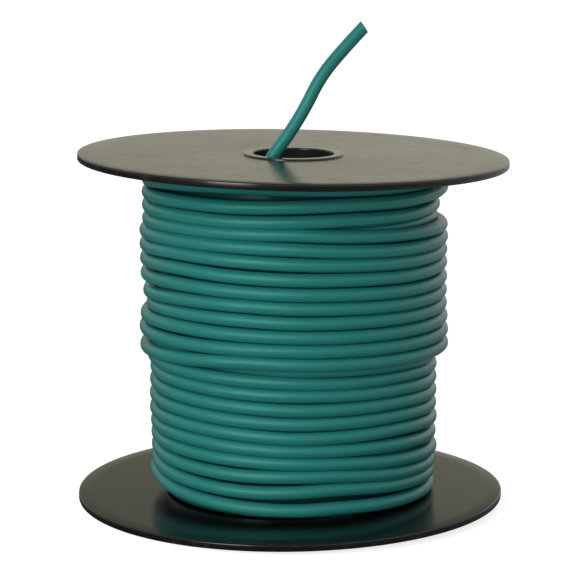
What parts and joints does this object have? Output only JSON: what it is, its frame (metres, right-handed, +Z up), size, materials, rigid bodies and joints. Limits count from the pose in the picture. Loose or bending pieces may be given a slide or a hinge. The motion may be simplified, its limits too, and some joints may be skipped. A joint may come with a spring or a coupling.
{
  "type": "wire spool",
  "caption": "Supply spool of insulated hook-up wire: round flanges on a hollow barrel with a spindle bore, a wound pack of wire, and the wire's inner end standing out of the bore.",
  "frame": {"origin": "on the spool's axis, at the lower hub lip's face, which is what the spool stands on", "axes": "+Z up along the spindle bore; +X to the right and +Y away from the viewer in the picture"},
  "size_m": [0.1016, 0.1016, 0.1141],
  "materials": {
    "flange_plastic": "moulded, glossy, warm black",
    "barrel_plastic": "moulded, dull black",
    "bushing_plastic": "moulded, satin black",
    "inner_wire": "satin insulation, in the shade of the outer turns",
    "wire_insulation": "satin green vinyl insulation",
    "copper_strands": "bare copper strands"
  },
  "bodies": {
    "root": {"lower_flange": "flange_plastic", "upper_flange": "flange_plastic", "barrel": "barrel_plastic", "lower_bushing": "bushing_plastic", "upper_bushing": "bushing_plastic", "wire_inner_layers": "inner_wire", "wire_outer_turns": "wire_insulation", "wire_tail_jacket": "wire_insulation", "wire_tail_strands": "copper_strands"}
  },
  "joints": []
}
